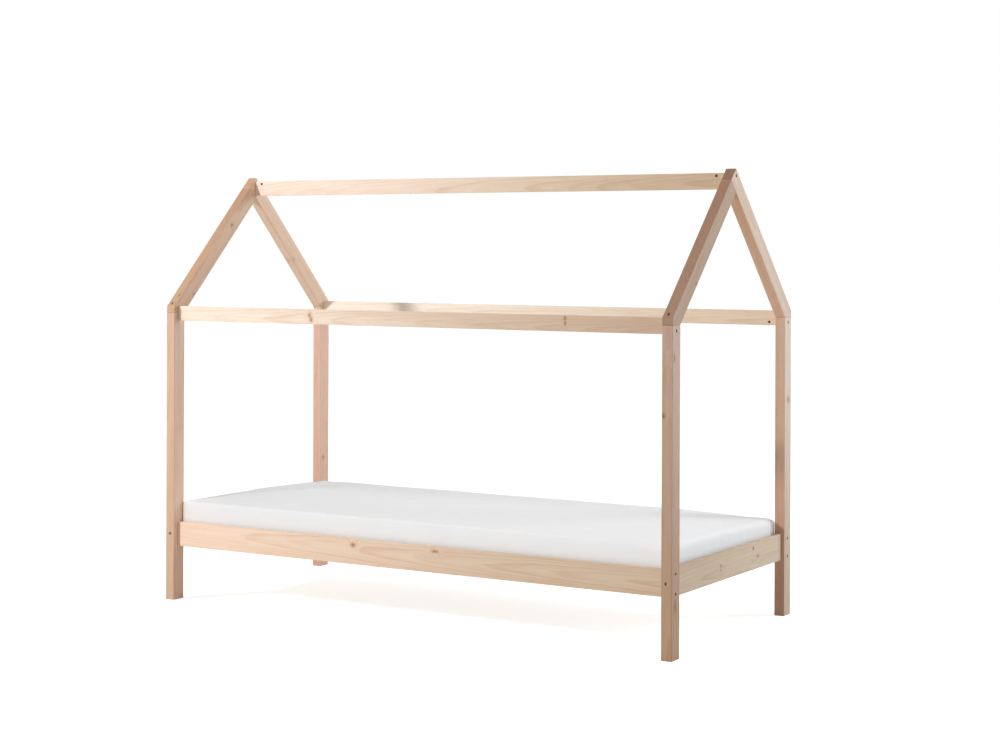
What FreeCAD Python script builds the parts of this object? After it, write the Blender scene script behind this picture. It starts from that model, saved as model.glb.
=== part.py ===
import FreeCAD, Part
import math
import os

# House frame bed, in millimetres. X runs along the bed, Y across it with -Y at the front, Z up.
# The origin is on the floor, under the middle of the bed.

# Mattress and the room around it
MATTRESS_LENGTH = 2000.0
MATTRESS_WIDTH = 900.0
MATTRESS_HEIGHT = 112.0
MATTRESS_CROWN = 5.0
MATTRESS_EDGE = 22.0
MATTRESS_CORNER = 45.0
MATTRESS_DRAW_IN = 4.0
MATTRESS_CROWN_FLAT = 90.0
MATTRESS_ROUNDING = [0, 30, 60, 90]
MATTRESS_SIDE_SHARES = [0.25, 0.5, 0.75]
MATTRESS_CROWN_SHARES = [0.3, 0.6, 1.0]
MATTRESS_END_GAP = 4.0
MATTRESS_SIDE_GAP = 8.0
SOFT_CLEARANCE = 0.3

# Timber sections
POST_THICK = 38.0
POST_DEEP = 58.0
BOARD = 16.0
EDGE_ROUND = 2.0
CUT_MARGIN = 20.0

# House frame
POST_HEIGHT = 1072.0
ROOF_PITCH = 45.0
RIDGE_HEIGHT = 56.0
RIDGE_DROP = 15.0
EAVES_HEIGHT = 54.0

# Bed frame
SIDE_RAIL_BOTTOM = 200.0
SIDE_RAIL_HEIGHT = 90.0
END_RAIL_HEIGHT = 95.0
END_RAIL_SET_BACK = 12.0

# Slatted base
SUPPORT_THICK = 25.0
SUPPORT_HEIGHT = 32.0
SUPPORT_END_SPACE = 54.0
SLAT_COUNT = 14
SLAT_WIDE = 70.0
SLAT_THICK = 18.0
SLAT_END_GAP = 4.0

# Bolts and barrel nuts
BOLT = 6.0
BOLT_CLEARANCE = 0.5
BOLT_HEAD = 10.0
BOLT_HEAD_HEIGHT = 5.0
BOLT_SOCKET = 4.0
BOLT_SOCKET_DEEP = 3.0
BOLT_TIP = 1.0
BOLT_PAST_NUT = 9.0
HEAD_CLEARANCE = 0.5
COUNTERBORE_DEEP = 10.0
NUT = 10.0
NUT_LENGTH = 12.0
NUT_CLEARANCE = 0.1
NUT_SINK = 0.5
NUT_SLOT_WIDE = 1.4
NUT_SLOT_DEEP = 1.2
NUT_FROM_END = 32.0
THREAD_CLEARANCE = 0.05

# Bolt places
SIDE_BOLT_SPACING = 64.0
EAVES_BOLT_UP = 12.0
RIDGE_BOLT_DOWN = 10.0

# Dowels
DOWEL = 8.0
DOWEL_LENGTH = 30.0
DOWEL_CHAMFER = 0.8
DOWEL_CLEARANCE = 0.05
DOWEL_END_SPACE = 1.0
END_DOWEL_SPACING = 50.0
EAVES_DOWEL_DOWN = 12.0
RIDGE_DOWEL_UP = 16.0
FOOT_DOWEL_FROM_INSIDE = 13.0
APEX_DOWEL_OFFSET = 16.0

# Screws
FRAME_SCREW = 6.0
FRAME_SCREW_HEAD_HEIGHT = 4.0
FOOT_SCREW_FROM_OUTSIDE = 12.0
FOOT_SCREW_SINK = 10.0
FOOT_SCREW_GRIP = 56.0
APEX_SCREW_SINK = 8.0
APEX_SCREW_GRIP = 50.0
WOOD_SCREW = 4.0
WOOD_SCREW_HEAD = 8.0
WOOD_SCREW_HEAD_HEIGHT = 2.4
SCREW_CLEARANCE = 0.1
SUPPORT_SCREW_GRIP = 10.0
SLAT_SCREW_GRIP = 20.0
CROSS_SLOT_WIDE = 1.0
CROSS_SLOT_DEEP = 1.2
SCREW_POINT = 1.5
PILOT_END_SPACE = 2.0

X_AXIS = FreeCAD.Vector(1, 0, 0)
Y_AXIS = FreeCAD.Vector(0, 1, 0)
Z_AXIS = FreeCAD.Vector(0, 0, 1)
LEFT = -1
RIGHT = 1
FRONT = -1
BACK = 1
SIDES = {"left": LEFT, "right": RIGHT}
FACES = {"front": FRONT, "back": BACK}

# Plan: inner faces of the posts, outer faces of the frame, middle planes of the boards
post_inner_x = MATTRESS_LENGTH / 2 + MATTRESS_END_GAP
half_length = post_inner_x + POST_THICK
rail_inner_y = MATTRESS_WIDTH / 2 + MATTRESS_SIDE_GAP
rail_y = rail_inner_y + BOARD / 2
half_width = rail_y + POST_DEEP / 2
post_inner_y = half_width - POST_DEEP
end_rail_x = half_length - END_RAIL_SET_BACK - BOARD / 2
rafter_x = half_length - POST_THICK / 2

# Roof lines in the gable plane
pitch = math.radians(ROOF_PITCH)
foot_height = POST_DEEP / math.cos(pitch) - POST_DEEP * math.tan(pitch)
foot_top = POST_HEIGHT + foot_height
peak = foot_top + half_width * math.tan(pitch)
inner_peak = peak - POST_DEEP / math.cos(pitch)
butt_y = POST_DEEP / (2 * math.sin(pitch))
butt_z = peak - butt_y * math.tan(pitch)
apex_through = POST_DEEP / math.sin(2 * pitch)
apex_screw_grip = apex_through - APEX_SCREW_SINK - FRAME_SCREW_HEAD_HEIGHT + APEX_SCREW_GRIP

# Heights of rails and boards
side_rail_top = SIDE_RAIL_BOTTOM + SIDE_RAIL_HEIGHT
side_rail_middle = SIDE_RAIL_BOTTOM + SIDE_RAIL_HEIGHT / 2
side_bolt_heights = [side_rail_middle - SIDE_BOLT_SPACING / 2, side_rail_middle + SIDE_BOLT_SPACING / 2]
end_rail_top = SIDE_RAIL_BOTTOM + END_RAIL_HEIGHT
end_rail_middle = SIDE_RAIL_BOTTOM + END_RAIL_HEIGHT / 2
end_dowel_heights = [end_rail_middle - END_DOWEL_SPACING / 2, end_rail_middle + END_DOWEL_SPACING / 2]
eaves_bottom = foot_top - EAVES_HEIGHT
eaves_bolt_height = eaves_bottom + EAVES_BOLT_UP
eaves_dowel_height = foot_top - EAVES_DOWEL_DOWN
ridge_top = peak - RIDGE_DROP
ridge_bottom = ridge_top - RIDGE_HEIGHT
ridge_bolt_height = ridge_top - RIDGE_BOLT_DOWN
ridge_dowel_height = ridge_bottom + RIDGE_DOWEL_UP
support_top = SIDE_RAIL_BOTTOM + SUPPORT_HEIGHT
slat_top = support_top + SLAT_THICK
mattress_bottom = slat_top + SOFT_CLEARANCE
mattress_top = mattress_bottom + MATTRESS_HEIGHT

# Slat and screw places
support_half = post_inner_x - SUPPORT_END_SPACE
slat_half = rail_inner_y - SLAT_END_GAP
slat_pitch = (2 * support_half - SLAT_WIDE) / (SLAT_COUNT - 1)
slat_places = [-support_half + SLAT_WIDE / 2 + slat_pitch * index for index in range(SLAT_COUNT)]
support_y = rail_inner_y - SUPPORT_THICK / 2
support_screw_places = [x + slat_pitch / 2 for x in slat_places[:-1:2]]
support_screw_height = SIDE_RAIL_BOTTOM + SUPPORT_HEIGHT / 2


def vector(x, y, z):
    return FreeCAD.Vector(x, y, z)


def block(corner, opposite):
    """Box between two opposite corners, given in any order."""
    low = vector(min(corner.x, opposite.x), min(corner.y, opposite.y), min(corner.z, opposite.z))
    high = vector(max(corner.x, opposite.x), max(corner.y, opposite.y), max(corner.z, opposite.z))
    size = high - low
    return Part.makeBox(size.x, size.y, size.z, low)


def rod(start, direction, length, diameter):
    return Part.makeCylinder(diameter / 2, length, start, direction)


def eased(bar):
    """Round every edge of a timber bar."""
    return bar.makeFillet(EDGE_ROUND, bar.Edges)


def without(body, tools):
    return body.cut(Part.makeCompound(tools)).Solids[0]


def turned(points):
    """Turn a half outline, given as (radius, height) points, about the Z axis into a solid."""
    wire = Part.makePolygon([vector(radius, 0, height) for radius, height in points + points[:1]])
    return Part.Face(wire).revolve(vector(0, 0, 0), Z_AXIS, 360)


def aimed(solid, place, direction):
    """Move a solid that is built along +Z from the origin so that it points along direction from place."""
    moved = solid.copy()
    moved.Placement = FreeCAD.Placement(place, FreeCAD.Rotation(Z_AXIS, direction))
    return moved


# Fasteners: each is built along +Z, and its head's top is at the origin

def bolt(grip):
    """Cylinder head bolt with a hexagon socket; grip is the length below the head."""
    end = BOLT_HEAD_HEIGHT + grip
    body = turned([
        (0, 0), (BOLT_HEAD / 2, 0), (BOLT_HEAD / 2, BOLT_HEAD_HEIGHT), (BOLT / 2, BOLT_HEAD_HEIGHT),
        (BOLT / 2, end - BOLT_TIP), (BOLT / 2 - BOLT_TIP, end), (0, end),
    ])
    corner = BOLT_SOCKET / math.sqrt(3)
    angles = [math.radians(60 * index) for index in range(7)]
    outline = Part.makePolygon([vector(corner * math.cos(a), corner * math.sin(a), 0) for a in angles])
    socket = Part.Face(outline).extrude(Z_AXIS * BOLT_SOCKET_DEEP)
    return body.cut(socket).Solids[0]


def barrel_nut():
    """Round nut along Z with a cross hole at its middle and a slot in the end that shows."""
    body = Part.makeCylinder(NUT / 2 - NUT_CLEARANCE, NUT_LENGTH)
    hole = rod(vector(-NUT, 0, NUT_LENGTH / 2), X_AXIS, 2 * NUT, BOLT + 2 * THREAD_CLEARANCE)
    slot = block(vector(-NUT, -NUT_SLOT_WIDE / 2, 0), vector(NUT, NUT_SLOT_WIDE / 2, NUT_SLOT_DEEP))
    return without(body, [hole, slot])


def cross_recess(head):
    """Two crossed slots, as tools to cut from a screw head of that diameter."""
    reach = head / 4
    half = CROSS_SLOT_WIDE / 2
    along_x = block(vector(-reach, -half, 0), vector(reach, half, CROSS_SLOT_DEEP))
    along_y = block(vector(-half, -reach, 0), vector(half, reach, CROSS_SLOT_DEEP))
    return [along_x.fuse(along_y)]


def frame_screw(grip):
    """Heavy screw with a cylinder head, for timber to end grain."""
    end = FRAME_SCREW_HEAD_HEIGHT + grip
    body = turned([
        (0, 0), (BOLT_HEAD / 2, 0), (BOLT_HEAD / 2, FRAME_SCREW_HEAD_HEIGHT),
        (FRAME_SCREW / 2, FRAME_SCREW_HEAD_HEIGHT), (FRAME_SCREW / 2, end - 2 * SCREW_POINT),
        (FRAME_SCREW / 2 - SCREW_POINT, end), (0, end),
    ])
    return without(body, cross_recess(BOLT_HEAD))


def wood_screw(length):
    """Countersunk screw of that whole length."""
    body = turned([
        (0, 0), (WOOD_SCREW_HEAD / 2, 0), (WOOD_SCREW / 2, WOOD_SCREW_HEAD_HEIGHT),
        (WOOD_SCREW / 2, length - 2 * SCREW_POINT), (WOOD_SCREW / 2 - SCREW_POINT, length), (0, length),
    ])
    return without(body, cross_recess(WOOD_SCREW_HEAD))


def dowel():
    """Beech pin centred on the origin along Z, with chamfered ends."""
    half = DOWEL_LENGTH / 2
    radius = DOWEL / 2
    return turned([
        (0, -half), (radius - DOWEL_CHAMFER, -half), (radius, -half + DOWEL_CHAMFER),
        (radius, half - DOWEL_CHAMFER), (radius - DOWEL_CHAMFER, half), (0, half),
    ])


# Holes: tools that are cut from the timber

def bolt_hole(face_point, direction, length):
    """Counterbore for the head at a face, and a clear hole for the shank beyond it."""
    start = face_point - direction * CUT_MARGIN
    head = rod(start, direction, CUT_MARGIN + COUNTERBORE_DEEP, BOLT_HEAD + 2 * HEAD_CLEARANCE)
    shank = rod(face_point, direction, length, BOLT + 2 * BOLT_CLEARANCE)
    return [head, shank]


def nut_hole(centre, towards_face):
    """Blind hole for a barrel nut, open on the side that towards_face points to."""
    reach = NUT_LENGTH / 2 + NUT_SINK
    start = centre - towards_face * reach
    return rod(start, towards_face, reach + CUT_MARGIN, NUT)


def dowel_hole(centre, direction):
    length = DOWEL_LENGTH + 2 * DOWEL_END_SPACE
    return rod(centre - direction * (length / 2), direction, length, DOWEL + 2 * DOWEL_CLEARANCE)


def frame_screw_hole(place, grip, sink):
    """Round well that holds the head and opens outwards, and a close hole for the shank."""
    head_top, direction = place
    well_open = sink + CUT_MARGIN
    width = BOLT_HEAD + 2 * HEAD_CLEARANCE
    well = rod(head_top - direction * well_open, direction, well_open + FRAME_SCREW_HEAD_HEIGHT, width)
    shank_length = FRAME_SCREW_HEAD_HEIGHT + grip + PILOT_END_SPACE
    shank = rod(head_top, direction, shank_length, FRAME_SCREW + 2 * SCREW_CLEARANCE)
    return [well, shank]


def wood_screw_hole(face_point, direction, length):
    """Countersink at a face and a close hole beyond it, longer than the screw."""
    gap = SCREW_CLEARANCE
    deep = length + PILOT_END_SPACE
    cone = turned([
        (0, 0), (WOOD_SCREW_HEAD / 2 + gap, 0), (WOOD_SCREW / 2 + gap, WOOD_SCREW_HEAD_HEIGHT),
        (WOOD_SCREW / 2 + gap, deep), (0, deep),
    ])
    return aimed(cone, face_point, direction)


# Places shared by fasteners and holes: a point and the direction in which the fastener points

def side_bolt_places(side, face):
    points = [vector(side * half_length, face * rail_y, height) for height in side_bolt_heights]
    return [(point, X_AXIS * -side) for point in points]


def eaves_bolt_place(side, face):
    return vector(side * half_length, face * rail_y, eaves_bolt_height), X_AXIS * -side


def end_bolt_place(side, face):
    return vector(side * end_rail_x, face * half_width, end_rail_middle), Y_AXIS * -face


def ridge_bolt_place(side):
    return vector(side * half_length, 0, ridge_bolt_height), X_AXIS * -side


def nut_centre(bolt_place, timber):
    """Centre of the nut that a bolt meets, beyond timber of that thickness."""
    point, direction = bolt_place
    return point + direction * (timber + NUT_FROM_END)


def end_dowel_places(side, face):
    points = [vector(side * end_rail_x, face * post_inner_y, height) for height in end_dowel_heights]
    return [(point, Y_AXIS) for point in points]


def eaves_dowel_place(side, face):
    return vector(side * post_inner_x, face * rail_y, eaves_dowel_height), X_AXIS


def ridge_dowel_place(side):
    return vector(side * post_inner_x, 0, ridge_dowel_height), X_AXIS


def foot_dowel_place(side, face):
    return vector(side * rafter_x, face * (post_inner_y + FOOT_DOWEL_FROM_INSIDE), POST_HEIGHT), Z_AXIS


def foot_screw_place(side, face):
    """Top of the head of the screw that runs straight down a rafter foot."""
    inset = FOOT_SCREW_FROM_OUTSIDE
    height = foot_top + inset * math.tan(pitch) - FOOT_SCREW_SINK
    return vector(side * rafter_x, face * (half_width - inset), height), Z_AXIS * -1


def front_rafter_axis():
    """Direction up the front rafter."""
    return vector(0, math.cos(pitch), math.sin(pitch))


def butt_point(side, offset):
    """Point of the apex joint, offset across the front rafter from its middle line."""
    across = vector(0, -math.sin(pitch), math.cos(pitch))
    joint_middle = vector(side * rafter_x, -butt_y / 2, (butt_z + inner_peak) / 2)
    return joint_middle + across * offset


def apex_screw_place(side):
    """Top of the head of the screw that runs through the back rafter into the front one's end."""
    start = butt_point(side, 0) + front_rafter_axis() * (apex_through - APEX_SCREW_SINK)
    return start, front_rafter_axis() * -1


def apex_dowel_place(side):
    return butt_point(side, -APEX_DOWEL_OFFSET), front_rafter_axis()


# Timber pieces

def post(side, face):
    inner = vector(side * post_inner_x, face * post_inner_y, 0)
    outer = vector(side * half_length, face * half_width, POST_HEIGHT)
    tools = []
    for place, direction in side_bolt_places(side, face) + [eaves_bolt_place(side, face)]:
        tools += bolt_hole(place, direction, POST_THICK + CUT_MARGIN)
    place, direction = end_bolt_place(side, face)
    tools += bolt_hole(place, direction, POST_DEEP + CUT_MARGIN)
    tools += [dowel_hole(*place) for place in end_dowel_places(side, face)]
    tools.append(dowel_hole(*foot_dowel_place(side, face)))
    tools += foot_screw_tools(side, face)
    return without(eased(block(inner, outer)), tools)


def foot_screw_tools(side, face):
    return frame_screw_hole(foot_screw_place(side, face), FOOT_SCREW_GRIP, FOOT_SCREW_SINK)


def apex_screw_tools(side):
    return frame_screw_hole(apex_screw_place(side), apex_screw_grip, APEX_SCREW_SINK)


def back_outline():
    """Back rafter: it runs through the apex and ends flush with the front rafter's slope."""
    return [
        (half_width, POST_HEIGHT), (half_width, foot_top), (0, peak), (-butt_y, butt_z),
        (post_inner_y, POST_HEIGHT),
    ]


def front_outline():
    """Front rafter: its square end butts against the back rafter."""
    return [
        (-half_width, POST_HEIGHT), (-half_width, foot_top), (-butt_y, butt_z), (0, inner_peak),
        (-post_inner_y, POST_HEIGHT),
    ]


def rafter(side, face):
    outline = front_outline() if face == FRONT else back_outline()
    start_x = side * rafter_x - POST_THICK / 2
    wire = Part.makePolygon([vector(start_x, y, z) for y, z in outline + outline[:1]])
    bar = Part.Face(wire).extrude(X_AXIS * POST_THICK)
    tools = foot_screw_tools(side, face)
    tools.append(dowel_hole(*foot_dowel_place(side, face)))
    tools.append(dowel_hole(*eaves_dowel_place(side, face)))
    tools.append(dowel_hole(*apex_dowel_place(side)))
    tools += apex_screw_tools(side)
    if face == BACK:
        tools += bolt_hole(*ridge_bolt_place(side), POST_THICK + CUT_MARGIN)
        tools.append(dowel_hole(*ridge_dowel_place(side)))
    return without(eased(bar), tools)


def end_tools(bolts, face_direction):
    """Holes in a board's end for bolts and their barrel nuts, which open along face_direction."""
    tools = []
    for place, timber in bolts:
        start, direction = place
        length = timber + NUT_FROM_END + BOLT_PAST_NUT + PILOT_END_SPACE
        tools.append(rod(start, direction, length, BOLT + 2 * BOLT_CLEARANCE))
        tools.append(nut_hole(nut_centre(place, timber), face_direction))
    return tools


def side_rail(face):
    low = vector(-post_inner_x, face * rail_y - BOARD / 2, SIDE_RAIL_BOTTOM)
    high = vector(post_inner_x, face * rail_y + BOARD / 2, side_rail_top)
    tools = []
    for side in SIDES.values():
        bolts = [(place, POST_THICK) for place in side_bolt_places(side, face)]
        tools += end_tools(bolts, Y_AXIS * -face)
    tools += support_screw_tools(face)
    return without(eased(block(low, high)), tools)


def end_rail(side):
    low = vector(side * end_rail_x - BOARD / 2, -post_inner_y, SIDE_RAIL_BOTTOM)
    high = vector(side * end_rail_x + BOARD / 2, post_inner_y, end_rail_top)
    tools = []
    for face in FACES.values():
        tools += end_tools([(end_bolt_place(side, face), POST_DEEP)], X_AXIS * -side)
        tools += [dowel_hole(*place) for place in end_dowel_places(side, face)]
    return without(eased(block(low, high)), tools)


def eaves_rail(face):
    low = vector(-post_inner_x, face * rail_y - BOARD / 2, eaves_bottom)
    high = vector(post_inner_x, face * rail_y + BOARD / 2, foot_top)
    tools = []
    for side in SIDES.values():
        tools += end_tools([(eaves_bolt_place(side, face), POST_THICK)], Y_AXIS * -face)
        tools.append(dowel_hole(*eaves_dowel_place(side, face)))
    return without(eased(block(low, high)), tools)


def ridge_beam():
    low = vector(-post_inner_x, -BOARD / 2, ridge_bottom)
    high = vector(post_inner_x, BOARD / 2, ridge_top)
    tools = []
    for side in SIDES.values():
        tools += end_tools([(ridge_bolt_place(side), POST_THICK)], Y_AXIS * FRONT)
        tools.append(dowel_hole(*ridge_dowel_place(side)))
    return without(eased(block(low, high)), tools)


# Slatted base

def support_screw_places_on(face):
    """Face points of the screws that hold one support to its side rail."""
    y = face * (rail_inner_y - SUPPORT_THICK)
    return [(vector(x, y, support_screw_height), Y_AXIS * face) for x in support_screw_places]


def slat_screw_places(x):
    return [(vector(x, face * support_y, slat_top), Z_AXIS * -1) for face in FACES.values()]


def support_screw_tools(face):
    length = SUPPORT_THICK + SUPPORT_SCREW_GRIP
    return [wood_screw_hole(place, direction, length) for place, direction in support_screw_places_on(face)]


def slat_screw_tools(x):
    length = SLAT_THICK + SLAT_SCREW_GRIP
    return [wood_screw_hole(place, direction, length) for place, direction in slat_screw_places(x)]


def slat_support(face):
    low = vector(-support_half, face * support_y - SUPPORT_THICK / 2, SIDE_RAIL_BOTTOM)
    high = vector(support_half, face * support_y + SUPPORT_THICK / 2, support_top)
    tools = support_screw_tools(face)
    for x in slat_places:
        tools += slat_screw_tools(x)
    return without(eased(block(low, high)), tools)


def slat(x):
    low = vector(x - SLAT_WIDE / 2, -slat_half, support_top)
    high = vector(x + SLAT_WIDE / 2, slat_half, slat_top)
    return without(eased(block(low, high)), slat_screw_tools(x))


# Mattress

def mattress_levels():
    """Inset and height of each outline, from the underside up over the drawn-in sides to the crown."""
    edge = MATTRESS_EDGE
    levels = []
    for angle in MATTRESS_ROUNDING:
        turn = math.radians(angle)
        levels.append((edge * (1 - math.sin(turn)), mattress_bottom + edge * (1 - math.cos(turn))))
    for share in MATTRESS_SIDE_SHARES:
        draw_in = MATTRESS_DRAW_IN * math.sin(math.pi * share)
        levels.append((draw_in, mattress_bottom + edge + share * (MATTRESS_HEIGHT - 2 * edge)))
    for angle in reversed(MATTRESS_ROUNDING):
        turn = math.radians(angle)
        levels.append((edge * (1 - math.sin(turn)), mattress_top - edge * (1 - math.cos(turn))))
    slope = MATTRESS_WIDTH / 2 - MATTRESS_CROWN_FLAT - edge
    for share in MATTRESS_CROWN_SHARES:
        levels.append((edge + slope * share, mattress_top + MATTRESS_CROWN * math.sin(math.pi / 2 * share)))
    return levels


def mattress_outline(inset, height):
    """Level outline with round corners, drawn in all round by inset."""
    half_x = MATTRESS_LENGTH / 2 - inset
    half_y = MATTRESS_WIDTH / 2 - inset
    radius = max(MATTRESS_CORNER - inset, MATTRESS_EDGE)
    turn = radius * (1 - math.sqrt(0.5))
    arcs = []
    for side, face in [(RIGHT, BACK), (LEFT, BACK), (LEFT, FRONT), (RIGHT, FRONT)]:
        on_end = vector(side * half_x, face * (half_y - radius), height)
        middle = vector(side * (half_x - turn), face * (half_y - turn), height)
        on_side = vector(side * (half_x - radius), face * half_y, height)
        arcs.append([on_end, middle, on_side] if side == face else [on_side, middle, on_end])
    edges = []
    for arc, following in zip(arcs, arcs[1:] + arcs[:1]):
        edges.append(Part.Arc(*arc).toShape())
        edges.append(Part.LineSegment(arc[-1], following[0]).toShape())
    return Part.Wire(edges)


def mattress():
    """Loft through level outlines."""
    outlines = [mattress_outline(inset, height) for inset, height in mattress_levels()]
    return Part.makeLoft(outlines, True, True).Solids[0]


# Groups of fasteners

def bolts_at(places, timber):
    grip = timber - COUNTERBORE_DEEP + NUT_FROM_END + BOLT_PAST_NUT
    model = bolt(grip)
    solids = []
    for point, direction in places:
        head_top = point + direction * (COUNTERBORE_DEEP - BOLT_HEAD_HEIGHT)
        solids.append(aimed(model, head_top, direction))
    return solids


def nuts_at(places, timber, face_directions):
    """Barrel nuts whose slotted ends look along face_directions and whose holes lie on the bolts."""
    model = barrel_nut()
    solids = []
    for place, outward in zip(places, face_directions):
        along = place[1]
        start = nut_centre(place, timber) + outward * (NUT_LENGTH / 2)
        turn = FreeCAD.Rotation(along, along.cross(outward), outward * -1, "ZXY")
        nut = model.copy()
        nut.Placement = FreeCAD.Placement(start, turn)
        solids.append(nut)
    return solids


def dowels_at(places):
    return [aimed(dowel(), point, direction) for point, direction in places]


def screws_at(model, places):
    return [aimed(model, point, direction) for point, direction in places]


def corners():
    return [(side, face) for side in SIDES.values() for face in FACES.values()]


def fasteners():
    side_places = [place for side, face in corners() for place in side_bolt_places(side, face)]
    side_faces = [Y_AXIS * -face for side, face in corners() for height in side_bolt_heights]
    eaves_places = [eaves_bolt_place(side, face) for side, face in corners()]
    eaves_faces = [Y_AXIS * -face for side, face in corners()]
    end_places = [end_bolt_place(side, face) for side, face in corners()]
    end_faces = [X_AXIS * -side for side, face in corners()]
    ridge_places = [ridge_bolt_place(side) for side in SIDES.values()]
    ridge_faces = [Y_AXIS * FRONT for side in SIDES.values()]
    end_dowels = [place for side, face in corners() for place in end_dowel_places(side, face)]
    foot_screws = [foot_screw_place(side, face) for side, face in corners()]
    apex_screws = [apex_screw_place(side) for side in SIDES.values()]
    support_screws = [place for face in FACES.values() for place in support_screw_places_on(face)]
    slat_screws = [place for x in slat_places for place in slat_screw_places(x)]
    return {
        "side_rail_bolts": bolts_at(side_places, POST_THICK),
        "side_rail_barrel_nuts": nuts_at(side_places, POST_THICK, side_faces),
        "eaves_rail_bolts": bolts_at(eaves_places, POST_THICK),
        "eaves_rail_barrel_nuts": nuts_at(eaves_places, POST_THICK, eaves_faces),
        "end_rail_bolts": bolts_at(end_places, POST_DEEP),
        "end_rail_barrel_nuts": nuts_at(end_places, POST_DEEP, end_faces),
        "ridge_bolts": bolts_at(ridge_places, POST_THICK),
        "ridge_barrel_nuts": nuts_at(ridge_places, POST_THICK, ridge_faces),
        "end_rail_dowels": dowels_at(end_dowels),
        "eaves_rail_dowels": dowels_at([eaves_dowel_place(side, face) for side, face in corners()]),
        "ridge_dowels": dowels_at([ridge_dowel_place(side) for side in SIDES.values()]),
        "rafter_foot_dowels": dowels_at([foot_dowel_place(side, face) for side, face in corners()]),
        "apex_dowels": dowels_at([apex_dowel_place(side) for side in SIDES.values()]),
        "rafter_foot_screws": screws_at(frame_screw(FOOT_SCREW_GRIP), foot_screws),
        "apex_screws": screws_at(frame_screw(apex_screw_grip), apex_screws),
        "slat_support_screws": screws_at(wood_screw(SUPPORT_THICK + SUPPORT_SCREW_GRIP), support_screws),
        "slat_screws": screws_at(wood_screw(SLAT_THICK + SLAT_SCREW_GRIP), slat_screws),
    }


def timber():
    pieces = {"ridge_beam": ridge_beam()}
    for face_name, face in FACES.items():
        pieces["eaves_rail_" + face_name] = eaves_rail(face)
        pieces["side_rail_" + face_name] = side_rail(face)
        pieces["slat_support_" + face_name] = slat_support(face)
        for side_name, side in SIDES.items():
            pieces["post_" + face_name + "_" + side_name] = post(side, face)
            pieces["rafter_" + face_name + "_" + side_name] = rafter(side, face)
    for side_name, side in SIDES.items():
        pieces["end_rail_" + side_name] = end_rail(side)
    for index, x in enumerate(slat_places):
        pieces["slat_%02d" % (index + 1)] = slat(x)
    return pieces


os.makedirs("parts", exist_ok=True)
for name, shape in timber().items():
    shape.exportStep("parts/" + name + ".step")
for name, solids in fasteners().items():
    Part.makeCompound(solids).exportStep("parts/" + name + ".step")
mattress().exportStep("parts/mattress.step")
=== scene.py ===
import math
import random

import bmesh
import bpy
from mathutils import Matrix, Vector, noise


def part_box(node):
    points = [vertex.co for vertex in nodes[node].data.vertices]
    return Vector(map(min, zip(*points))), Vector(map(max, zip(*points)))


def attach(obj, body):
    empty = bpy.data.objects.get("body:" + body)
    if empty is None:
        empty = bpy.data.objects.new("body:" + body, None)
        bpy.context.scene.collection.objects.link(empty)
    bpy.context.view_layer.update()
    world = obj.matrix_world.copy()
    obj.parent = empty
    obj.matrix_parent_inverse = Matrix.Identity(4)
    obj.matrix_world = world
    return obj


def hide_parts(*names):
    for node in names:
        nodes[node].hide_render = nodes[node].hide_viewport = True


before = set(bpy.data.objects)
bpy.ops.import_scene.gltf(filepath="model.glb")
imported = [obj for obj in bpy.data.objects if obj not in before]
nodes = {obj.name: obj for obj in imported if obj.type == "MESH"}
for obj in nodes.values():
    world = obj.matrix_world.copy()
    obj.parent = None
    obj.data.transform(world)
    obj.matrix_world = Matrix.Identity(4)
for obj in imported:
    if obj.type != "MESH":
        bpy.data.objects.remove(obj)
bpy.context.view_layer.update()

# House frame bed, in metres: X along the bed, -Y at the front, Z up, origin on the floor under its middle.

# Camera: level, looking from the front right, with the picture turned a little clockwise
CAMERA_PLACE = Vector((3.7434, -6.1680, 1.3097))
CAMERA_YAW = 0.5525
CAMERA_ROLL = 0.0039
CAMERA_LENS = 70.66
CAMERA_SENSOR = 36.0
CAMERA_SHIFT = (0.0399, -0.1250)

# Pine: width of a growth ring, how far the rings stray from round, how many rings a knot bends aside,
# and the depth of the grain's relief
RING_WIDTH = 0.0042
RING_WANDER = 0.016
KNOT_BEND = 2.6
GRAIN_RELIEF = 0.00025
# Reach of a knot's bend and of its shade, in its own radii, and how much less a step along the branch counts
KNOT_BEND_REACH = 2.3
KNOT_SHADE_REACH = 2.6
ALONG_BRANCH = 0.8
# How far and how finely a knot's outline wobbles
KNOT_WOBBLE = 0.008
KNOT_WOBBLE_SCALE = (130.0, 130.0, 130.0)
# Shades from the knot's heart, past its dark rim, to the clear wood
KNOT_SHADES = [
    (0.0, (0.36, 0.23, 0.17, 1.0)), (0.13, (0.46, 0.31, 0.24, 1.0)), (0.22, (0.72, 0.57, 0.47, 1.0)),
    (0.31, (0.74, 0.60, 0.50, 1.0)), (0.38, (0.58, 0.42, 0.33, 1.0)), (0.46, (0.90, 0.82, 0.75, 1.0)),
    (0.68, (0.97, 0.94, 0.90, 1.0)), (1.0, (1.0, 1.0, 1.0, 1.0)),
]
# Early to late wood within one ring
RING_SHADES = [(0.0, 0.0), (0.35, 0.15), (0.80, 0.9), (0.90, 1.0), (1.0, 0.0)]
# Noise scales, along the grain and twice across it
WANDER_SCALE = (1.5, 9.0, 9.0)
FINE_SCALE = (5.0, 120.0, 120.0)
DRIFT_SCALE = (0.7, 50.0, 50.0)
BLOTCH_SCALE = (7.0, 38.0, 38.0)
FIBRE_SCALE = (9.0, 700.0, 700.0)
STREAK_SCALE = (14.0, 420.0, 420.0)
# Noise values at which a drift of flush, a blotch and a streak begin and are full
DRIFT_STARTS = (0.36, 0.66)
BLOTCH_STARTS = (0.45, 0.75)
STREAK_STARTS = (0.64, 0.78)
STREAK_STRENGTH = 0.5
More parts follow.
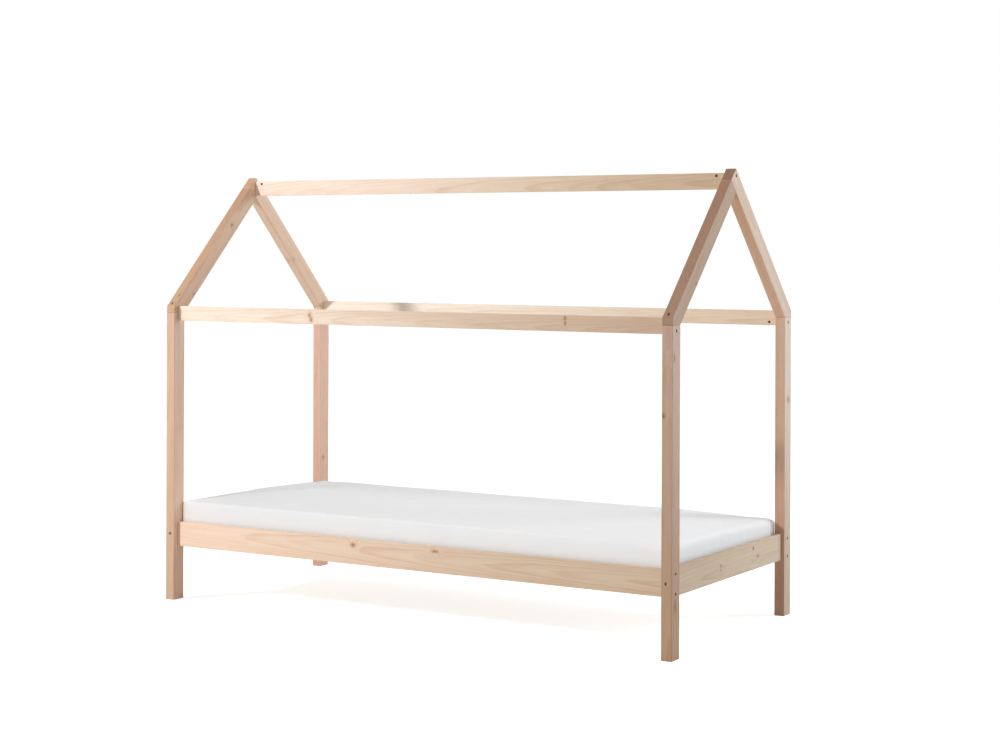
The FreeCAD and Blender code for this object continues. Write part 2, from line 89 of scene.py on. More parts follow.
# The pith: least and most way off the bar's middle, most way along its width, and its steepest slopes
PITH_OFF = (0.045, 0.075)
PITH_ASIDE = 0.03
PITH_LEANS = (0.022, 0.012)
# What late wood, the flush that drifts through a bar, and end grain leave of the tone
LATE_WOOD = (0.90, 0.83, 0.77, 1.0)
FLUSH = (0.97, 0.92, 0.89, 1.0)
END_GRAIN = (0.76, 0.68, 0.60, 1.0)
END_GRAINS = {
    "rafter_back_left": (0.80, 0.66, 0.57, 1.0),
    "rafter_back_right": (0.36, 0.28, 0.24, 1.0),
}

# Mattress: how much fuller the block starts than its place, at each end and at each side, and its rounding
MATTRESS_FULL = (0.0090, 0.0015)
MATTRESS_CORNER = 0.008
MATTRESS_EDGE = 0.005
# How the ends stay clear of the posts, and bulge between them
POST_CLEAR = 0.0006
POST_PINCH = 0.010
END_BULGE = 0.005
# Cloth: size of its cells, most that it may swell, steps, and height of the underside that is held
MATTRESS_VOXEL = 0.010
MATTRESS_SWELL = 0.005
MATTRESS_FRAMES = 20
HELD_BAND = 0.006
COVER_PRESSURE = 4.0
COVER_STIFFNESS = 20.0
COVER_BENDING = 2.0
# Worn places: how far the top drops, and over which width
END_TILT = 0.010
END_TILT_WIDTH = 0.40
END_ROUND = 0.004
END_ROUND_WIDTH = 0.03
BACK_TILT = 0.009
BACK_TILT_WIDTH = 0.45
CORNER_ROUND = 0.011
CORNER_WIDTH = 0.15
# Dimples and upright folds
FOLD_WIDTH = 0.06
DIMPLE_DEPTH = 0.0008
FOLD_DEPTH = 0.0026
FOLD_SPACING = 0.045

# Studio: how much brighter the floor is seen than lit, near and far, the distances between, and its side
FLOOR_LIFT = 0.72
FLOOR_LIFT_FAR = 0.90
FLOOR_REACH = (3.0, 6.5)
FLOOR_SIZE = 80.0
WORLD_LIGHT = 0.18
# Lamps: place, the point that it faces, side, power and colour
KEY_LAMP = ((-5.3, -6.6, 4.55), (-0.3, 0.0, 0.8), 0.75, 540.0, (1.0, 0.985, 0.965))
BROAD_LAMP = ((-1.4, -6.8, 5.0), (0.0, 0.0, 0.4), 4.5, 390.0, (1.0, 1.0, 1.0))
FILL_LAMP = ((5.6, 4.4, 3.0), (0.6, 0.0, 0.8), 2.4, 222.0, (0.90, 0.96, 1.0))
LOW_LAMP = ((6.0, -1.6, 0.6), (0.0, 0.0, 0.4), 1.5, 28.0, (0.92, 0.97, 1.0))
TOP_LAMP = ((1.0, 0.6, 4.4), (0.3, 0.0, 0.4), 2.0, 43.0, (1.0, 1.0, 1.0))


# Shader nodes

def add(tree, kind, inputs=None, **settings):
    """New node with its settings; inputs holds values or the sockets that feed it."""
    node = tree.nodes.new(kind)
    for name, value in settings.items():
        setattr(node, name, value)
    for name, value in (inputs or {}).items():
        if isinstance(value, bpy.types.NodeSocket):
            tree.links.new(value, node.inputs[name])
        else:
            node.inputs[name].default_value = value
    return node


def calculate(tree, operation, *values):
    inputs = {index: value for index, value in enumerate(values)}
    return add(tree, "ShaderNodeMath", inputs, operation=operation).outputs[0]


def vectors(tree, operation, *values):
    inputs = {index: value for index, value in enumerate(values)}
    return add(tree, "ShaderNodeVectorMath", inputs, operation=operation)


def smooth(tree, value, start, end):
    """0 at start, 1 at end, eased between them."""
    inputs = {"Value": value, "From Min": start, "From Max": end}
    return add(tree, "ShaderNodeMapRange", inputs, interpolation_type="SMOOTHSTEP").outputs[0]


def blend_colours(tree, share, first, second, mode="MIX"):
    node = add(tree, "ShaderNodeMix", data_type="RGBA", blend_type=mode)
    for index, value in ((0, share), (6, first), (7, second)):
        if isinstance(value, bpy.types.NodeSocket):
            tree.links.new(value, node.inputs[index])
        else:
            node.inputs[index].default_value = value
    return node.outputs[2]


def ramp(tree, value, stops, interpolation="EASE"):
    node = add(tree, "ShaderNodeValToRGB", {"Fac": value})
    node.color_ramp.interpolation = interpolation
    while len(node.color_ramp.elements) < len(stops):
        node.color_ramp.elements.new(0.5)
    for element, (position, colour) in zip(node.color_ramp.elements, stops):
        element.position = position
        element.color = colour if isinstance(colour, tuple) else (colour, colour, colour, 1.0)
    return node.outputs["Color"]


def cloudy(tree, place, scale, seed, detail=2.0):
    """Noise at a scale given per axis, around 0.5."""
    stretched = vectors(tree, "MULTIPLY", place, scale).outputs[0]
    inputs = {"Vector": stretched, "W": seed, "Scale": 1.0, "Detail": detail, "Roughness": 0.5}
    return add(tree, "ShaderNodeTexNoise", inputs, noise_dimensions="4D")


def group(name, inputs, outputs):
    """New node group with its sockets; returns the tree, its input node and its output node."""
    tree = bpy.data.node_groups.new(name, "ShaderNodeTree")
    for socket, kind in inputs:
        tree.interface.new_socket(socket, in_out="INPUT", socket_type=kind)
    for socket, kind in outputs:
        tree.interface.new_socket(socket, in_out="OUTPUT", socket_type=kind)
    return tree, tree.nodes.new("NodeGroupInput"), tree.nodes.new("NodeGroupOutput")


def display(red, green, blue):
    """Colour from its 0 to 255 values on a display."""
    shares = [value / 255 for value in (red, green, blue)]
    linear = [s / 12.92 if s <= 0.04045 else ((s + 0.055) / 1.055) ** 2.4 for s in shares]
    return (*linear, 1.0)


def new_material(name):
    material = bpy.data.materials.new(name)
    material.use_nodes = True
    tree = material.node_tree
    tree.nodes.clear()
    output = tree.nodes.new("ShaderNodeOutputMaterial")
    shader = tree.nodes.new("ShaderNodeBsdfPrincipled")
    tree.links.new(shader.outputs[0], output.inputs[0])
    return material, tree, shader


# Pine: growth rings round a pith beside the bar, cut by the bar's own faces

def knot_group():
    """A branch through the bar: how far it bends the rings, and how it shades the wood."""
    vector, number = "NodeSocketVector", "NodeSocketFloat"
    tree, given, result = group(
        "knot",
        [("Place", vector), ("Centre", vector), ("Stretch", vector), ("Radius", number)],
        [("Bend", number), ("Shade", "NodeSocketColor")],
    )
    wobble = cloudy(tree, given.outputs["Place"], KNOT_WOBBLE_SCALE, 3.0)
    whole = (KNOT_WOBBLE,) * 3
    back = (-KNOT_WOBBLE / 2,) * 3
    shift = vectors(tree, "MULTIPLY_ADD", wobble.outputs["Color"], whole, back).outputs[0]
    away = vectors(tree, "SUBTRACT", given.outputs["Place"], given.outputs["Centre"]).outputs[0]
    away = vectors(tree, "ADD", away, shift).outputs[0]
    away = vectors(tree, "MULTIPLY", away, given.outputs["Stretch"]).outputs[0]
    length = vectors(tree, "LENGTH", away).outputs["Value"]
    radii = calculate(tree, "DIVIDE", length, given.outputs["Radius"])
    squared = calculate(tree, "POWER", calculate(tree, "DIVIDE", radii, KNOT_BEND_REACH), 2.0)
    fall = calculate(tree, "POWER", math.e, calculate(tree, "MULTIPLY", squared, -1.0))
    tree.links.new(calculate(tree, "MULTIPLY", fall, KNOT_BEND), result.inputs["Bend"])
    shade = ramp(tree, calculate(tree, "DIVIDE", radii, KNOT_SHADE_REACH), KNOT_SHADES)
    tree.links.new(shade, result.inputs["Shade"])
    return tree


def pine_group():
    """Solid pine in the bar's own frame: first axis along the grain."""
    vector, number, colour = "NodeSocketVector", "NodeSocketFloat", "NodeSocketColor"
    tree, given, result = group(
        "pine_grain",
        [("Place", vector), ("Pith", vector), ("Lean", vector), ("Seed", number), ("Bend", number),
         ("Along", number), ("Low", colour), ("High", colour), ("End", number), ("Cut", colour)],
        [("Color", colour), ("Relief", number)],
    )
    place, seed = given.outputs["Place"], given.outputs["Seed"]
    wander = cloudy(tree, place, WANDER_SCALE, seed).outputs["Color"]
    wander = vectors(tree, "SUBTRACT", wander, (0.5, 0.5, 0.5)).outputs[0]
    wander = vectors(tree, "MULTIPLY", wander, (0.0, RING_WANDER, RING_WANDER)).outputs[0]
    across = vectors(tree, "SUBTRACT", place, given.outputs["Pith"]).outputs[0]
    across = vectors(tree, "ADD", across, wander).outputs[0]
    far = add(tree, "ShaderNodeSeparateXYZ", {"Vector": place}).outputs["X"]
    lean = vectors(tree, "SCALE", given.outputs["Lean"])
    tree.links.new(far, lean.inputs["Scale"])
    across = vectors(tree, "ADD", across, lean.outputs[0]).outputs[0]
    across = vectors(tree, "MULTIPLY", across, (0.0, 1.0, 1.0)).outputs[0]
    radius = vectors(tree, "LENGTH", across).outputs["Value"]
    rings = calculate(tree, "ADD", calculate(tree, "DIVIDE", radius, RING_WIDTH), given.outputs["Bend"])
    fine = cloudy(tree, place, FINE_SCALE, seed).outputs[0]
    rings = calculate(tree, "MULTIPLY_ADD", fine, 0.5, rings)
    within = calculate(tree, "FRACT", rings)
    late = ramp(tree, within, RING_SHADES)
    year = add(tree, "ShaderNodeTexWhiteNoise", {"W": calculate(tree, "FLOOR", rings)}, noise_dimensions="1D")
    strong = calculate(tree, "MULTIPLY_ADD", year.outputs["Value"], 0.75, 0.25)
    late = calculate(tree, "MULTIPLY", late, strong)
    base = blend_colours(tree, given.outputs["Along"], given.outputs["Low"], given.outputs["High"])
    base = blend_colours(tree, late, base, LATE_WOOD, "MULTIPLY")
    drift = cloudy(tree, place, DRIFT_SCALE, calculate(tree, "ADD", seed, 7.0)).outputs[0]
    base = blend_colours(tree, smooth(tree, drift, *DRIFT_STARTS), base, FLUSH, "MULTIPLY")
    blotch = cloudy(tree, place, BLOTCH_SCALE, calculate(tree, "ADD", seed, 11.0)).outputs[0]
    base = blend_colours(tree, smooth(tree, blotch, *BLOTCH_STARTS), base, FLUSH, "MULTIPLY")
    fibre = cloudy(tree, place, FIBRE_SCALE, seed, 3.0).outputs[0]
    light = calculate(tree, "MULTIPLY_ADD", fibre, 0.20, 0.95)
    light = add(tree, "ShaderNodeCombineColor", {"Red": light, "Green": light, "Blue": light}).outputs[0]
    base = blend_colours(tree, 1.0, base, light, "MULTIPLY")
    streak = cloudy(tree, place, STREAK_SCALE, calculate(tree, "ADD", seed, 3.0), 1.0).outputs[0]
    streak = calculate(tree, "MULTIPLY", smooth(tree, streak, *STREAK_STARTS), STREAK_STRENGTH)
    base = blend_colours(tree, streak, base, LATE_WOOD, "MULTIPLY")
    base = blend_colours(tree, given.outputs["End"], base, given.outputs["Cut"], "MULTIPLY")
    tree.links.new(base, result.inputs["Color"])
    relief = calculate(tree, "MULTIPLY_ADD", fibre, 0.6, calculate(tree, "MULTIPLY", late, 0.4))
    tree.links.new(relief, result.inputs["Relief"])
    return tree


PINE = pine_group()
KNOT = knot_group()

# Tones of each bar at its low end and its high end along the grain, partly painted light and shade: rails and
# ridge paler at the left end, near the key lamp, posts lighter or darker at their feet
BAR_TONES_AND_PAINTED_LIGHT = {
    "post_front_left": (display(212, 180, 154), display(216, 180, 155)),
    "post_front_right": (display(182, 148, 121), display(190, 162, 142)),
    "post_back_left": (display(218, 175, 155), display(221, 180, 160)),
    "post_back_right": (display(200, 161, 137), display(204, 172, 149)),
    "rafter_front_left": (display(204, 170, 137), display(194, 153, 126)),
    "rafter_front_right": (display(162, 129, 104), display(149, 110, 83)),
    "rafter_back_left": (display(226, 197, 172), display(224, 195, 170)),
    "rafter_back_right": (display(214, 174, 145), display(200, 164, 131)),
    "ridge_beam": (display(249, 230, 214), display(207, 184, 155)),
    "eaves_rail_front": (display(252, 237, 220), display(207, 181, 157)),
    "eaves_rail_back": (display(252, 241, 228), display(224, 205, 181)),
    "side_rail_front": (display(247, 220, 197), display(216, 194, 169)),
    "side_rail_back": (display(242, 218, 192), display(224, 200, 172)),
    "end_rail_left": (display(228, 202, 176), display(232, 206, 180)),
    "end_rail_right": (display(198, 178, 151), display(211, 192, 168)),
}
# Tones of the faces turned to the ends of the bed, low end and high end again: partly the wood's own other
# tones, partly painted light and shade for how brightly the lamps light these faces
SIDE_TONES_AND_PAINTED_LIGHT = {
    "post_front_left": (display(238, 206, 181), display(212, 184, 166)),
    "post_front_right": (display(167, 134, 105), display(197, 172, 156)),
    "post_back_left": (display(225, 191, 169), display(229, 196, 174)),
    "post_back_right": (display(198, 170, 149), display(225, 208, 193)),
    "rafter_front_left": (display(203, 170, 145), display(207, 176, 148)),
    "rafter_front_right": (display(175, 146, 122), display(169, 139, 112)),
    "rafter_back_right": (display(215, 192, 176), display(215, 191, 168)),
}
SLAT_TONES = (display(234, 210, 180), display(228, 202, 172))

# Knots: a point on the bar's face, the axis that the branch runs along, its radius, and its length over
# its width
KNOTS = {
    "eaves_rail_front": [
        ((-0.399, -0.474, 1.074), "y", 0.0070, 1.0), ((-0.392, -0.474, 1.058), "y", 0.0085, 0.7),
        ((0.640, -0.474, 1.086), "y", 0.0055, 0.8), ((0.641, -0.474, 1.070), "y", 0.0060, 0.6),
    ],
    "side_rail_front": [
        ((-0.206, -0.474, 0.269), "y", 0.0070, 1.3), ((0.135, -0.474, 0.274), "y", 0.0045, 2.6),
    ],
    "end_rail_right": [
        ((1.030, 0.186, 0.275), "x", 0.0065, 1.0), ((1.030, -0.088, 0.250), "x", 0.0050, 1.0),
        ((1.030, -0.088, 0.236), "x", 0.0040, 1.0), ((1.030, 0.225, 0.244), "x", 0.0050, 1.6),
    ],
    "post_back_right": [((1.042, 0.468, 0.776), "x", 0.0080, 1.2)],
    "post_front_right": [
        ((1.010, -0.495, 0.783), "y", 0.0055, 1.2), ((1.042, -0.470, 0.173), "x", 0.0060, 3.0),
        ((1.042, -0.482, 0.968), "x", 0.0050, 2.2),
    ],
    "rafter_front_right": [((1.042, -0.320, 1.202), "x", 0.0050, 1.3)],
    "post_back_left": [((-1.004, 0.456, 0.449), "x", 0.0050, 1.4)],
    "rafter_front_left": [
        ((-1.004, -0.154, 1.403), "x", 0.0055, 1.3), ((-1.015, -0.454, 1.137), "z", 0.0030, 1.0),
        ((-1.004, -0.384, 1.140), "x", 0.0035, 1.6),
    ],
    "side_rail_back": [
        ((-0.510, 0.474, 0.240), "y", 0.0120, 1.3), ((0.420, 0.474, 0.262), "y", 0.0080, 1.2),
    ],
    "end_rail_left": [((-1.030, 0.120, 0.250), "x", 0.0100, 1.2)],
    "rafter_back_left": [((-1.042, 0.250, 1.270), "x", 0.0070, 1.3)],
    "slat_04": [((-0.520, 0.210, 0.250), "z", 0.0090, 1.2)],
    "slat_09": [((0.240, -0.160, 0.232), "z", 0.0110, 1.2)],
}


def bar_turn(node):
    """Columns are the grain's direction, the direction of the bar's thickness, and the third axis."""
    low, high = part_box(node)
    size = high - low
    if node.startswith("rafter_front"):
        grain = Vector((0, 1, 1)).normalized()
    elif node.startswith("rafter_back"):
        grain = Vector((0, -1, 1)).normalized()
    else:
        grain = Vector([float(length == max(size)) for length in size])
    thick_along_x = node.startswith(("rafter", "end_rail"))
    thickness = Vector((1, 0, 0)) if thick_along_x else Vector((0, 1, 0))
    if node.startswith("slat_") and "support" not in node:
        thickness = Vector((0, 0, 1))
    return Matrix((grain, thickness, grain.cross(thickness))).transposed()


def pith_course(number):
    """Where the pith runs beside the bar, mostly off its wide face, and how it leans along the bar."""
    draw = random.Random(number)
    off = draw.choice((-1, 1)) * draw.uniform(*PITH_OFF)
    place = Vector((0.0, off, draw.uniform(-PITH_ASIDE, PITH_ASIDE)))
    lean = Vector((0.0, *[draw.uniform(-slope, slope) for slope in PITH_LEANS]))
    return place, lean


def reach(node, grain):
    """Half of the bar's length along its grain."""
    low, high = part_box(node)
    return (high - low).dot(Vector([abs(share) for share in grain])) / 2


def join_group(tree, kind, inputs):
    """Group node; inputs holds values or the sockets that feed it."""
    node = tree.nodes.new("ShaderNodeGroup")
    node.node_tree = kind
    for name, value in inputs.items():
        if isinstance(value, bpy.types.NodeSocket):
            tree.links.new(value, node.inputs[name])
        else:
            node.inputs[name].default_value = value
    return node


def add_knot(tree, place, centre, turn, knot):
    point, axis, radius, long = knot
    branch = Vector([float(axis == name) for name in "xyz"])
    through = turn.inverted() @ branch
    stretch = Vector((1 / long, 1.0, 1.0)) - Vector([abs(share) for share in through]) * ALONG_BRANCH
    local = turn.inverted() @ (Vector(point) - centre)
    return join_group(tree, KNOT, {"Place": place, "Centre": local, "Stretch": stretch, "Radius": radius})


def pine(node, number, tones_and_shade):
    """Pine material whose rings, knots and end grain are placed in this bar, its tones partly painted light
    and shade.
    """
    low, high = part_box(node)
    centre = (low + high) / 2
    turn = bar_turn(node)
    material, tree, shader = new_material("pine_" + node)
    coordinates = tree.nodes.new("ShaderNodeTexCoord")
    mapping = {"Vector": coordinates.outputs["Object"], "Location": centre, "Rotation": turn.to_euler()}
    place = add(tree, "ShaderNodeMapping", mapping, vector_type="TEXTURE").outputs[0]
    facing = vectors(tree, "DOT_PRODUCT", coordinates.outputs["Normal"], turn.col[0]).outputs["Value"]
    end = smooth(tree, calculate(tree, "ABSOLUTE", facing), 0.8, 0.95)
    half = reach(node, turn.col[0])
    along = smooth(tree, add(tree, "ShaderNodeSeparateXYZ", {"Vector": place}).outputs["X"], -half, half)
    knots = [add_knot(tree, place, centre, turn, knot) for knot in KNOTS.get(node, [])]
    bend = 0.0
    for knot in knots:
        bend = calculate(tree, "ADD", bend, knot.outputs["Bend"])
    # Faces turned to the ends of the bed get other tones, partly painted light and shade
    if node in SIDE_TONES_AND_PAINTED_LIGHT:
        turned = add(tree, "ShaderNodeSeparateXYZ", {"Vector": coordinates.outputs["Normal"]}).outputs["X"]
        side = smooth(tree, calculate(tree, "ABSOLUTE", turned), 0.5, 0.8)
        tones_and_shade = [blend_colours(tree, side, front, end_facing) for front, end_facing in zip(tones_and_shade, SIDE_TONES_AND_PAINTED_LIGHT[node])]
    pith, lean = pith_course(number)
    inputs = {"Place": place, "Pith": pith, "Lean": lean, "Seed": float(number), "Bend": bend,
              "Along": along, "Low": tones_and_shade[0], "High": tones_and_shade[1], "End": end,
              "Cut": END_GRAINS.get(node, END_GRAIN)}
    grain = join_group(tree, PINE, inputs)
    colour = grain.outputs["Color"]
    for knot in knots:
        colour = blend_colours(tree, 1.0, colour, knot.outputs["Shade"], "MULTIPLY")
    tree.links.new(colour, shader.inputs["Base Color"])
    relief = {"Strength": 0.5, "Distance": GRAIN_RELIEF, "Height": grain.outputs["Relief"]}
    bump = add(tree, "ShaderNodeBump", relief)
    tree.links.new(bump.outputs[0], shader.inputs["Normal"])
    shader.inputs["Roughness"].default_value = 0.5
    return material


def dress(node, material):
    nodes[node].data.materials.clear()
    nodes[node].data.materials.append(material)


# Fasteners

def steel(name, dark, pale):
    """Dull plated steel, a little uneven."""
    material, tree, shader = new_material(name)
    coordinates = tree.nodes.new("ShaderNodeTexCoord")
    specks = cloudy(tree, coordinates.outputs["Object"], (900.0, 900.0, 900.0), 1.0).outputs[0]
    colour = ramp(tree, specks, [(0.3, dark), (0.7, pale)])
    tree.links.new(colour, shader.inputs["Base Color"])
    tree.links.new(calculate(tree, "MULTIPLY_ADD", specks, 0.25, 0.28), shader.inputs["Roughness"])
    shader.inputs["Metallic"].default_value = 1.0
    return material


def beech():
    material, tree, shader = new_material("beech")
    coordinates = tree.nodes.new("ShaderNodeTexCoord")
    flecks = cloudy(tree, coordinates.outputs["Object"], (500.0, 500.0, 500.0), 2.0).outputs[0]
    colour = ramp(tree, flecks, [(0.35, display(206, 168, 128)), (0.7, display(184, 140, 100))])
    tree.links.new(colour, shader.inputs["Base Color"])
    shader.inputs["Roughness"].default_value = 0.6
    return material


# Mattress

def cover_cloth():
    """White knitted cotton: fine rows of loops, slightly uneven."""
    material, tree, shader = new_material("white_cover")
    coordinates = tree.nodes.new("ShaderNodeTexCoord")
    place = coordinates.outputs["Object"]
    unevenness = cloudy(tree, place, (14.0, 14.0, 14.0), 5.0, 3.0).outputs[0]
    colour = ramp(tree, unevenness, [(0.3, display(249, 249, 250)), (0.7, display(251, 251, 251))])
    loops = cloudy(tree, place, (900.0, 900.0, 900.0), 4.0, 1.0).outputs[0]
    tree.links.new(colour, shader.inputs["Base Color"])
    bump = add(tree, "ShaderNodeBump", {"Strength": 0.35, "Distance": 0.0003, "Height": loops})
    tree.links.new(bump.outputs[0], shader.inputs["Normal"])
    shader.inputs["Roughness"].default_value = 0.92
    shader.inputs["Sheen Weight"].default_value = 0.15
    return material


def mattress_block(low, high):
    """Rounded block, a little longer and wider than its place because the foam fills the frame."""
    bm = bmesh.new()
    bmesh.ops.create_cube(bm, size=1.0)
    size = high - low + Vector((*MATTRESS_FULL, 0.0)) * 2
    bmesh.ops.scale(bm, vec=size, verts=bm.verts)
    centre = (low + high) / 2
    centre.z = low.z + size.z / 2
    bmesh.ops.translate(bm, vec=centre, verts=bm.verts)
    upright = [e for e in bm.edges if abs(e.verts[0].co.z - e.verts[1].co.z) > size.z / 2]
    bmesh.ops.bevel(bm, geom=upright, offset=MATTRESS_CORNER, offset_type="OFFSET", segments=8,
                    profile=0.5, affect="EDGES", material=-1)
    level = [e for e in bm.edges if e.calc_face_angle(0.0) > 1.0]
    bmesh.ops.bevel(bm, geom=level, offset=MATTRESS_EDGE, offset_type="OFFSET", segments=5,
                    profile=0.5, affect="EDGES", material=-1)
    mesh = bpy.data.meshes.new("mattress_cover")
    bm.to_mesh(mesh)
    bm.free()
    piece = bpy.data.objects.new("mattress_cover", mesh)
    bpy.context.scene.collection.objects.link(piece)
    return piece


def apply_modifiers(piece):
    """Bake the piece's modifiers into its mesh."""
    evaluated = piece.evaluated_get(bpy.context.evaluated_depsgraph_get())
    mesh = bpy.data.meshes.new_from_object(evaluated)
    piece.modifiers.clear()
    piece.data = mesh


def remesh(piece):
    modifier = piece.modifiers.new("even", "REMESH")
    modifier.mode = "VOXEL"
    modifier.voxel_size = MATTRESS_VOXEL
    apply_modifiers(piece)


def swell(piece, low):
    """Fill the cover from inside, with its underside held flat on the slats."""
    start = [vertex.co.copy() for vertex in piece.data.vertices]
    held = piece.vertex_groups.new(name="held")
    held.add([v.index for v in piece.data.vertices if v.co.z < low.z + HELD_BAND], 1.0, "REPLACE")
    cloth = piece.modifiers.new("cloth", "CLOTH")
    settings = cloth.settings
    settings.vertex_group_mass = held.name
    settings.use_pressure = True
    settings.uniform_pressure_force = COVER_PRESSURE
    settings.effector_weights.gravity = 0.0
    settings.tension_stiffness = COVER_STIFFNESS
    settings.compression_stiffness = COVER_STIFFNESS
    settings.bending_stiffness = COVER_BENDING
    scene = bpy.context.scene
    for step in range(1, MATTRESS_FRAMES + 1):
        scene.frame_set(step)
    apply_modifiers(piece)
    scene.frame_set(1)
    for vertex, origin in zip(piece.data.vertices, start):
        moved = vertex.co - origin
        if moved.length > MATTRESS_SWELL:
            vertex.co = origin + moved.normalized() * MATTRESS_SWELL
    piece.vertex_groups.clear()


def eased(value):
    value = min(1.0, max(0.0, value))
    return value * value * (3 - 2 * value)


def near(value, edge, width):
    """1 at the edge, easing to 0 at its width inside."""
    return eased((value - (edge - width)) / width)


def rounding(value, edge, width):
    """1 at the edge, falling away quickly at first and then slowly inside it."""
    inside = min(1.0, max(0.0, (edge - value) / width))
    return (1 - inside) ** 2


def worn_drop(place, high):
    """How far the top has settled: towards the right end, towards the back and at the back left corner."""
    drop = END_TILT * near(place.x, high.x, END_TILT_WIDTH)
    drop += END_ROUND * rounding(place.x, high.x, END_ROUND_WIDTH)
    drop += BACK_TILT * near(place.y, high.y, BACK_TILT_WIDTH)
    corner = rounding(-place.x, high.x, CORNER_WIDTH) * rounding(place.y, high.y, CORNER_WIDTH)
    return drop + CORNER_ROUND * corner


def settle(piece, low, high):
    """Let the worn edges drop, and add soft dimples on top and upright folds at the ends."""
    height = high.z - low.z
    piece.data.update()
    normals = [vertex.normal.copy() for vertex in piece.data.vertices]
    for vertex, normal in zip(piece.data.vertices, normals):
        place = vertex.co.copy()
        up = eased((place.z - low.z) / height)
        dimple = noise.noise(place * 6.0) + 0.5 * noise.noise(place * 13.0)
        ripple = noise.noise(Vector((7.0, place.y / FOLD_SPACING, place.z * 4.0)))
        ripple *= 0.5 + noise.noise(Vector((3.0, place.y * 5.0, 0.0)))
        fold = ripple * near(abs(place.x), high.x, FOLD_WIDTH)
        vertex.co += normal * (dimple * DIMPLE_DEPTH + fold * FOLD_DEPTH) * up
        vertex.co.z -= worn_drop(place, high) * up


def press_against_posts(piece):
    """Keep the ends of the cover just clear of the posts, and soften the pinch beside them."""
    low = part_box("post_back_right")[0]
    for vertex in piece.data.vertices:
        beside = near(abs(vertex.co.y), low.y + POST_PINCH, POST_PINCH * 2)
        limit = low.x - POST_CLEAR + END_BULGE * (1 - beside)
        vertex.co.x = max(-limit, min(limit, vertex.co.x))


def build_mattress():
    low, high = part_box("mattress")
    piece = mattress_block(low, high)
    remesh(piece)
    swell(piece, low)
    settle(piece, low, high)
    press_against_posts(piece)
    piece.data.materials.clear()
    piece.data.materials.append(cover_cloth())
    for face in piece.data.polygons:
        face.use_smooth = True
    finer = piece.modifiers.new("finer", "SUBSURF")
    finer.levels = 1
    finer.render_levels = 1
    apply_modifiers(piece)
    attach(piece, "mattress")
    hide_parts("mattress")
    return piece


# Studio

def floor_material():
    """White floor, seen brighter than it is lit, more so far from the lamps; the bed's shadow stays."""
    material = bpy.data.materials.new("floor")
    material.use_nodes = True
    tree = material.node_tree
    tree.nodes.clear()
    output = tree.nodes.new("ShaderNodeOutputMaterial")
    matt = add(tree, "ShaderNodeBsdfDiffuse", {"Color": (0.9, 0.9, 0.9, 1.0)})
    rays = tree.nodes.new("ShaderNodeLightPath")
    seen = calculate(tree, "MAXIMUM", rays.outputs["Is Camera Ray"], rays.outputs["Is Glossy Ray"])
    seen = calculate(tree, "MAXIMUM", seen, rays.outputs["Is Transmission Ray"])
    place = tree.nodes.new("ShaderNodeTexCoord").outputs["Object"]
    far = smooth(tree, vectors(tree, "LENGTH", place).outputs["Value"], *FLOOR_REACH)
    strength = calculate(tree, "MULTIPLY_ADD", far, FLOOR_LIFT_FAR - FLOOR_LIFT, FLOOR_LIFT)
    strength = calculate(tree, "MULTIPLY", seen, strength)
    lift = add(tree, "ShaderNodeEmission", {"Color": (1.0, 1.0, 1.0, 1.0), "Strength": strength})
    both = add(tree, "ShaderNodeAddShader", {0: matt.outputs[0], 1: lift.outputs[0]})
    tree.links.new(both.outputs[0], output.inputs[0])
    return material


def build_floor():
    bm = bmesh.new()
    bmesh.ops.create_grid(bm, x_segments=1, y_segments=1, size=FLOOR_SIZE / 2)
    mesh = bpy.data.meshes.new("floor")
    bm.to_mesh(mesh)
    bm.free()
    floor = bpy.data.objects.new("floor", mesh)
    bpy.context.scene.collection.objects.link(floor)
    mesh.materials.append(floor_material())


def build_world():
    world = bpy.data.worlds.new("studio")
    bpy.context.scene.world = world
    world.use_nodes = True
    tree = world.node_tree
    tree.nodes.clear()
    output = tree.nodes.new("ShaderNodeOutputWorld")
    rays = tree.nodes.new("ShaderNodeLightPath")
    seen = calculate(tree, "MAXIMUM", rays.outputs["Is Camera Ray"], rays.outputs["Is Glossy Ray"])
    seen = calculate(tree, "MAXIMUM", seen, rays.outputs["Is Transmission Ray"])
    strength = calculate(tree, "MULTIPLY_ADD", seen, 1.0 - WORLD_LIGHT, WORLD_LIGHT)
    glow = add(tree, "ShaderNodeBackground", {"Color": (1.0, 1.0, 1.0, 1.0), "Strength": strength})
    tree.links.new(glow.outputs[0], output.inputs[0])


def softbox(name, place, target, size, power, colour):
    """Square lamp at a place, turned to a target."""
    lamp = bpy.data.lights.new(name, "AREA")
    lamp.shape = "SQUARE"
    lamp.size = size
    lamp.energy = power
    lamp.color = colour
    box = bpy.data.objects.new(name, lamp)
    bpy.context.scene.collection.objects.link(box)
    box.location = place
    box.rotation_euler = (Vector(target) - Vector(place)).to_track_quat("-Z", "Y").to_euler()
    return box


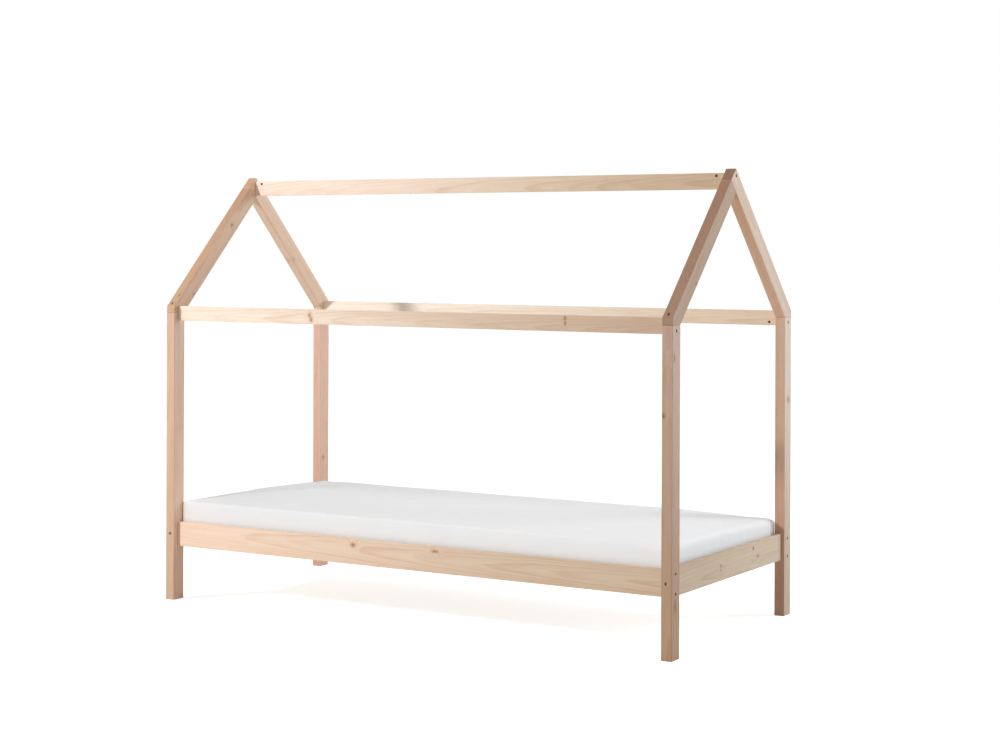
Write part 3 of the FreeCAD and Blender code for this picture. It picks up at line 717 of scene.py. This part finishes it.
def light_cover(lamp, cover, state):
    """Let the lamp reach only the mattress cover, or everything but the cover."""
    reached = bpy.data.collections.new("reached_by_" + lamp.name)
    reached.objects.link(cover)
    reached.collection_objects[0].light_linking.link_state = state
    lamp.light_linking.receiver_collection = reached


def build_lights(cover):
    """A hard key for the timber, a broad lamp for the cover, two fills beyond the right end, one above."""
    key = softbox("key", *KEY_LAMP)
    broad = softbox("broad", *BROAD_LAMP)
    softbox("fill", *FILL_LAMP)
    softbox("low", *LOW_LAMP)
    softbox("top", *TOP_LAMP)
    light_cover(key, cover, "EXCLUDE")
    light_cover(broad, cover, "INCLUDE")


def build_camera():
    camera = bpy.data.cameras.new("camera")
    camera.sensor_width = CAMERA_SENSOR
    camera.lens = CAMERA_LENS
    camera.shift_x, camera.shift_y = CAMERA_SHIFT
    ahead = Vector((-math.sin(CAMERA_YAW), math.cos(CAMERA_YAW), 0.0))
    level = Vector((math.cos(CAMERA_YAW), math.sin(CAMERA_YAW), 0.0))
    up = Vector((0.0, 0.0, 1.0))
    right = level * math.cos(CAMERA_ROLL) + up * math.sin(CAMERA_ROLL)
    turn = Matrix((right, right.cross(ahead), -ahead)).transposed()
    holder = bpy.data.objects.new("camera", camera)
    bpy.context.scene.collection.objects.link(holder)
    holder.matrix_world = Matrix.Translation(CAMERA_PLACE) @ turn.to_4x4()
    bpy.context.scene.camera = holder


build_camera()
BOLT_STEEL = steel("bolt_steel", display(150, 138, 126), display(186, 174, 162))
# Nuts dark brown: partly a dark finish, partly painted shade of the deep holes they sit in
NUT_STEEL_AND_HOLE_SHADE = steel("nut_steel_and_hole_shade", display(56, 42, 32), display(80, 62, 48))
BEECH = beech()
for number, node in enumerate(sorted(nodes)):
    if node in BAR_TONES_AND_PAINTED_LIGHT:
        dress(node, pine(node, number, BAR_TONES_AND_PAINTED_LIGHT[node]))
    elif node.endswith("_nuts"):
        dress(node, NUT_STEEL_AND_HOLE_SHADE)
    elif node.endswith(("_bolts", "_screws")):
        dress(node, BOLT_STEEL)
    elif node.endswith("_dowels"):
        dress(node, BEECH)
    elif node.startswith("slat"):
        dress(node, pine(node, number, SLAT_TONES))
cover = build_mattress()
build_floor()
build_world()
build_lights(cover)

view_settings = bpy.context.scene.view_settings
view_settings.view_transform = "Standard"
